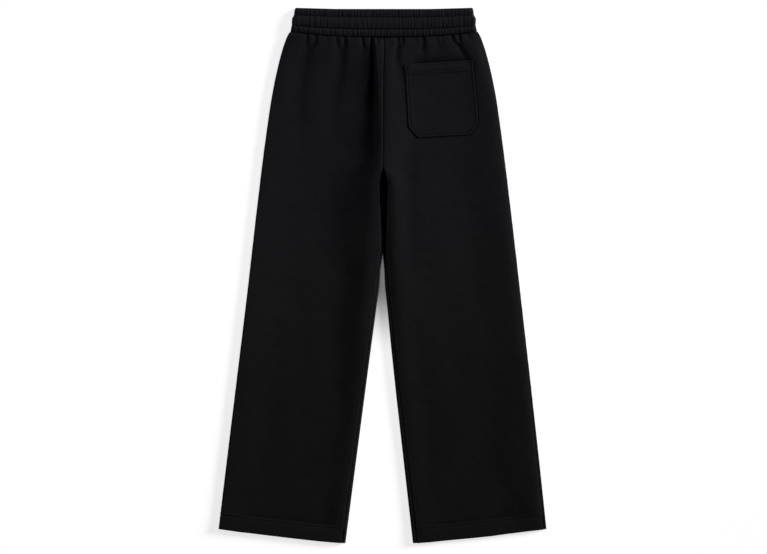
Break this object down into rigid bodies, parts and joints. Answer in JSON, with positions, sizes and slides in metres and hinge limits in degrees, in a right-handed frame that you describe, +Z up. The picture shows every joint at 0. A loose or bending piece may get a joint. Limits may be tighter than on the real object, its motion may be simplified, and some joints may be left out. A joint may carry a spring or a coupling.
{
  "type": "wide-leg sweatpants",
  "caption": "Black fleece sweatpants with straight wide legs, gathered elastic waistband and one patch pocket at the back, laid flat with the back up.",
  "frame": {"origin": "middle of the garment's box, on the flat underside it lies on", "axes": "+Z up from the surface, +Y towards the waistband, +X towards the wearer's right"},
  "size_m": [0.6553, 1.0691, 0.014],
  "materials": {
    "fleece": "black brushed-back fleece, matte, fine knit face",
    "waistband_fleece": "black fleece gathered over elastic, matte"
  },
  "bodies": {
    "root": {"back_left": "fleece", "back_right": "fleece", "front_left": "fleece", "front_right": "fleece", "waistband": "waistband_fleece", "back_pocket": "fleece"}
  },
  "joints": []
}
